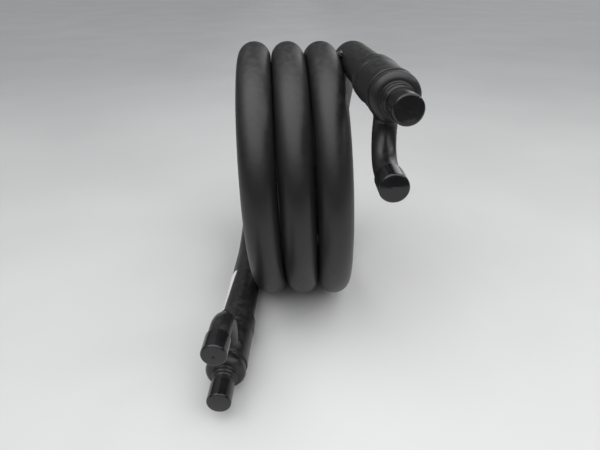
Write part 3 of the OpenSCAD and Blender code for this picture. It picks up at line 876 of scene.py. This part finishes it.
    def on_header(x):  # height of the header's surface above its axis at sideways distance x
        return np.sqrt(np.maximum(HEADER_R ** 2 - x ** 2, 1.0))
    cf, sf = np.cos(f), np.sin(f)
    p_foot = np.stack([(rr + foot) * cf, -on_header((rr + foot) * cf), s0 + (rr + foot) * sf], -1)
    p_root = np.stack([(rr + 0.1) * cf, -on_header((rr + 0.1) * cf), s0 + (rr + 0.1) * sf], -1)
    p_top = np.stack([rr * cf, -(on_header(rr * cf) + climb), s0 + rr * sf], -1)
    k = np.linspace(0, 1, nk)[:, None, None]
    ctrl = p_root + 0.22 * ((p_foot - p_root) + (p_top - p_root))
    curve = (1 - k) ** 2 * p_foot + 2 * k * (1 - k) * ctrl + k ** 2 * p_top
    under_top = np.stack([(rr - 0.35) * cf, -(on_header(rr * cf) + climb) - 0.02, s0 + (rr - 0.35) * sf], -1)[None]
    under_root = np.stack([(rr - 0.35) * cf, -(on_header((rr - 0.35) * cf) - 0.5), s0 + (rr - 0.35) * sf], -1)[None]
    under_foot = np.stack([(rr + foot) * cf, -(on_header((rr + foot) * cf) - 0.30), s0 + (rr + foot) * sf], -1)[None]
    rows = np.concatenate([curve, under_top, under_root, under_foot])
    build(f"{nm}_saddle_braze", putb(rows), loop=True, mat=M_BEAD, body=BODY, replaces=[f"{nm}_branch_braze"],
          sharp=50)

    # caps
    for kind in ("water", "branch"):
        face = WATER_FACE[e] if kind == "water" else BRANCH_FACE[e]
        off = 0.0 if kind == "water" else -BRANCH_H[e]
        here = (lambda p, e=e, off=off: place(at_branch(e, p + np.array([0.0, off, 0.0])))) if kind == "branch" else put
        mouth = face - CAP_LEN
        lo = 0.16
        side_r = CAP_R - lo
        bore = SOCKET_R + CAP_CLEAR
        dip = 0.95 if (e, kind) == (1, "branch") else 0.03
        dome = lambda x: face - 0.02 - 0.50 * (x / 9.8) ** 2
        outer = np.vstack([
            [[0.30, dome(0.3) - dip]], [[0.85, dome(0.85) - dip * 0.90]], [[1.25, dome(1.25) - dip * 0.62]],
            [[1.60, dome(1.6) - dip * 0.20]], [[1.95, dome(1.95)]], [[2.7, dome(2.7)]],
            [[4.0, dome(4.0)]], [[6.0, dome(6.0)]], [[8.0, dome(8.0)]], [[9.4, dome(9.4)]],
            arc(side_r - CAP_ROUND, face - CAP_ROUND - 0.52, CAP_ROUND, 85, 0, 11),
            [[side_r, face - 3.0], [side_r + 0.02, face - 7.0], [side_r + 0.04, face - 12.0], [side_r + 0.05, mouth + 3.2]],
            [[side_r + 0.05, mouth + 1.6]],
            arc(side_r - 0.55, mouth + 0.6, 0.6, 0, -90, 6),
            [[bore + 0.45, mouth]], arc(bore + 0.35, mouth + 0.35, 0.35, 270, 180, 4)[1:],
            [[bore, mouth + 1.2], [bore, mouth + 6.0], [bore, mouth + 12.0], [bore, face - CAP_END - 0.6]],
            arc(bore - 0.6, face - CAP_END - 0.6, 0.6, 0, 90, 4)[1:],
            [[bore - 2.5, face - CAP_END], [4.0, face - CAP_END], [0.8, face - CAP_END]]])
        sd = seed + (0.6 if kind == "branch" else 0.0)

        def cap_shape(r, z, f, sd=sd, face=face):
            out = (r > SOCKET_R + 0.6)
            k = 0.05 * np.sin(2 * f + sd) * smoothstep(face - z, 2.0, 9.0) + 0.03 * np.sin(3 * f + sd * 2)
            return np.where(out, r - 0.06 + k, r), z
        rows, uv = spin(outer, 96, here, cap_shape)
        build(f"{nm}_{kind}_cap_shell", rows, fan=(True, True), mat=M_VINYL, body=f"{nm}_{kind}_cap_body",
              replaces=[f"{nm}_{kind}_cap"], uv=uv, sharp=42)


# ---------------------------------------------------------------- floor, light, camera
def floor_mat():
    m, nt, b = new_mat("studio_floor")
    g = Net(nt)
    obj = g.coord()
    n = g.noise(obj, 3.0, 3.0)
    at = g.node("ShaderNodeSeparateXYZ")
    g.link(obj, at.inputs[0])
    # painted light: the floor's tone is painted lighter just in front and far back and darker towards the left and
    # right edges, standing in for light falloff, vignetting and softer shadows
    painted_light_falloff = g.math("MULTIPLY", g.ramp(at.outputs["Y"], -0.25, 0.45, 1.05, 0.96), g.ramp(at.outputs["Y"], 0.9, 3.2, 1.0, 1.2))
    painted_light_falloff = g.math("MULTIPLY", painted_light_falloff, g.ramp(at.outputs["X"], -0.60, -0.10, 0.91, 1.0))
    painted_light_falloff = g.math("MULTIPLY", painted_light_falloff, g.ramp(at.outputs["X"], 0.05, 0.45, 1.0, 0.94))
    tone = g.node("ShaderNodeVectorMath")
    tone.operation = "SCALE"
    g.link(g.mix(g.ramp(n, 0.3, 0.7), (0.575, 0.575, 0.58), (0.605, 0.607, 0.61)), tone.inputs[0])
    g.link(painted_light_falloff, tone.inputs["Scale"])
    g.link(tone.outputs[0], b.inputs["Base Color"])
    b.inputs["Roughness"].default_value = 0.75
    b.inputs["Specular IOR Level"].default_value = 0.15
    return m


fl = bpy.data.meshes.new("floor")
S, FZ = 14.0, min(CAD_BOX[0][2], 0.0) - 0.0002
FRONT = -0.85
fl.from_pydata([(-S, FRONT, FZ), (S, FRONT, FZ), (S, S, FZ), (-S, S, FZ)], [], [(0, 1, 2, 3)])
fl.materials.append(floor_mat())
floor = bpy.data.objects.new("floor", fl)
bpy.context.scene.collection.objects.link(floor)

world = bpy.data.worlds.new("soft_world")
bpy.context.scene.world = world
world.use_nodes = True
bg = world.node_tree.nodes["Background"]
bg.inputs["Strength"].default_value = 1.0
wn = Net(world.node_tree)
sep = wn.node("ShaderNodeSeparateXYZ")
wn.link(wn.coord("Generated"), sep.inputs[0])
high = wn.ramp(sep.outputs["Z"], 0.06, 0.80, 0.0, 1.0)
lean_to = wn.math("ADD", wn.math("MULTIPLY", sep.outputs["Y"], -0.40), wn.math("MULTIPLY", sep.outputs["X"], -0.20))
glow = wn.math("MULTIPLY", wn.math("MULTIPLY", wn.ramp(sep.outputs["X"], 0.12, 0.42), wn.ramp(sep.outputs["Z"], -0.10, 0.06)),
               wn.ramp(sep.outputs["Y"], 0.55, 0.82, 0.0, 1.3))
level = wn.math("ADD", glow, wn.math("MULTIPLY", high, wn.math("ADD", lean_to, 0.55)))
level = wn.math("ADD", level, 0.055)
tint = wn.node("ShaderNodeCombineColor")
for key, k in (("Red", 0.97), ("Green", 0.985), ("Blue", 1.0)):
    wn.link(wn.math("MULTIPLY", level, k), tint.inputs[key])
wn.link(tint.outputs["Color"], bg.inputs["Color"])


def area(name, loc, target, size, size_y, power, color=(1, 1, 1)):
    L = bpy.data.lights.new(name, "AREA")
    L.shape = "RECTANGLE"
    L.size, L.size_y, L.energy, L.color = size, size_y, power, color
    o = bpy.data.objects.new(name, L)
    o.location = loc
    o.rotation_euler = (Vector(target) - Vector(loc)).to_track_quat("-Z", "Y").to_euler()
    bpy.context.scene.collection.objects.link(o)
    return o


area("overhead", (-0.35, -0.10, 1.50), (-0.35, -0.10, 0.0), 1.3, 0.6, 1.5, (1.0, 0.99, 0.975))
area("ceiling", (0.0, -0.70, 1.72), (0.0, -0.70, 0.0), 3.4, 2.8, 40.0, (1.0, 0.995, 0.985))
fill = area("fill", (1.00, -0.95, 0.85), (0.05, -0.10, 0.0), 1.1, 0.6, 5.0, (1.0, 0.995, 0.985))
fill.visible_glossy = False
area("right", (1.25, 0.10, 1.03), (0.0, 0.0, 0.2), 0.16, 0.16, 1.3, (1.0, 0.995, 0.98))

cam_data = bpy.data.cameras.new("cam")
cam = bpy.data.objects.new("cam", cam_data)
bpy.context.scene.collection.objects.link(cam)
bpy.context.scene.camera = cam
YAW, PITCH_DOWN, ROLL, FOCAL = 0.0153, 0.4851, -0.0041, 469.3677
f_ = np.array([math.sin(YAW) * math.cos(PITCH_DOWN), math.cos(YAW) * math.cos(PITCH_DOWN), -math.sin(PITCH_DOWN)])
r_ = np.array([math.cos(YAW), -math.sin(YAW), 0.0])
u_ = np.cross(r_, f_)
r2 = math.cos(ROLL) * r_ + math.sin(ROLL) * u_
u2 = -math.sin(ROLL) * r_ + math.cos(ROLL) * u_
r2, u2, f2 = turn_in(r2), turn_in(u2), turn_in(f_)
cam_at = place(np.array([-4.9984, -564.4637, 374.059]) - np.array([0.0, 0.0, 155.0755]))
cam.matrix_world = Matrix(((r2[0], u2[0], -f2[0], cam_at[0]), (r2[1], u2[1], -f2[1], cam_at[1]),
                           (r2[2], u2[2], -f2[2], cam_at[2]), (0, 0, 0, 1)))
cam_data.sensor_fit = "HORIZONTAL"
cam_data.sensor_width = 36.0
cam_data.lens = FOCAL * 36.0 / 600.0
cam_data.clip_start, cam_data.clip_end = 0.02, 60.0
cam_data.dof.use_dof = False

bpy.context.scene.view_settings.view_transform = "Standard"
bpy.context.scene.view_settings.look = "None"
